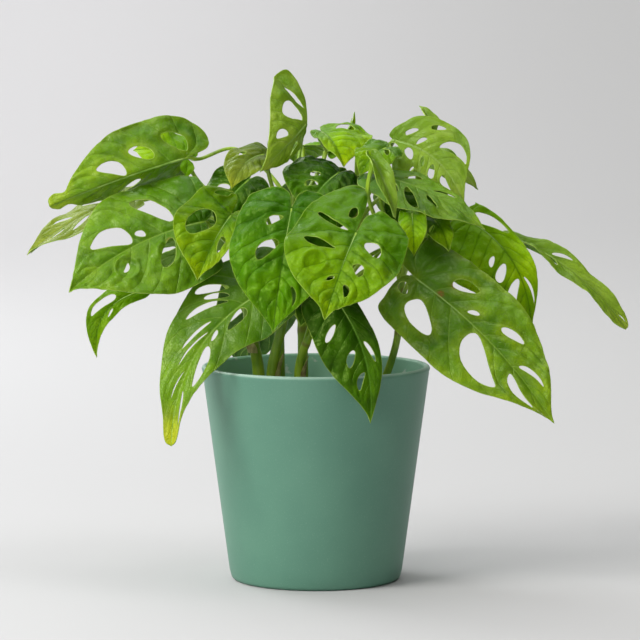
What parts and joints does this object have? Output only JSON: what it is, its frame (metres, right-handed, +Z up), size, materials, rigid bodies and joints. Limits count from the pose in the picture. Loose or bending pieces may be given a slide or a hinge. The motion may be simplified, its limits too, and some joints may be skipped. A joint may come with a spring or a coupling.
{
  "type": "potted swiss cheese vine",
  "caption": "Leafy Swiss-cheese vine with holed, heart-shaped leaves, in a nursery pot of soil inside a tapered green cover pot.",
  "frame": {"origin": "centre of the cover pot's flat underside, on the surface it stands on", "axes": "+Z up along the pot's axis; +X along the plant's widest spread, to the right in the picture; -Y towards the camera"},
  "size_m": [0.3671, 0.222, 0.3078],
  "materials": {
    "pot_glaze": "satin glazed earthenware",
    "nursery_plastic": "matt black thin plastic",
    "potting_soil": "damp peat with crumbs",
    "leaf_green": "thin waxy leaf, softly glossy",
    "stem_green": "fresh green stem",
    "dry_sheath": "dry and papery"
  },
  "bodies": {
    "root": {"dry_sheath_a": "dry_sheath", "dry_sheath_c": "dry_sheath", "dry_sheath_d": "dry_sheath", "grow_pot": "nursery_plastic", "leaf_arching_right": "leaf_green", "leaf_back": "leaf_green", "leaf_back_left": "leaf_green", "leaf_back_low": "leaf_green", "leaf_back_right": "leaf_green", "leaf_back_top": "leaf_green", "leaf_behind_left": "leaf_green", "leaf_between": "leaf_green", "leaf_crest": "leaf_green", "leaf_crest_right": "leaf_green", "leaf_cupped": "leaf_green", "leaf_curled_small": "leaf_green", "leaf_far_left": "leaf_green", "leaf_far_right": "leaf_green", "leaf_folded": "leaf_green", "leaf_front": "leaf_green", "leaf_front_left": "leaf_green", "leaf_front_left_long": "leaf_green", "leaf_inner_left": "leaf_green", "leaf_inner_middle": "leaf_green", "leaf_inner_right": "leaf_green", "leaf_low_left": "leaf_green", "leaf_middle_left": "leaf_green", "leaf_over_rim": "leaf_green", "leaf_right_large": "leaf_green", "leaf_right_tip": "leaf_green", "leaf_right_wavy": "leaf_green", "leaf_small_left": "leaf_green", "leaf_spear": "leaf_green", "leaf_spike": "leaf_green", "leaf_split": "leaf_green", "leaf_under_crest": "leaf_green", "leaf_upper_left": "leaf_green", "leaf_upper_right": "leaf_green", "leaf_young": "leaf_green", "pot": "pot_glaze", "soil": "potting_soil", "vine_a": "stem_green", "vine_b": "stem_green", "vine_c": "stem_green", "vine_d": "stem_green", "vine_e": "stem_green", "vine_f": "stem_green", "vine_g": "stem_green"}
  },
  "joints": []
}
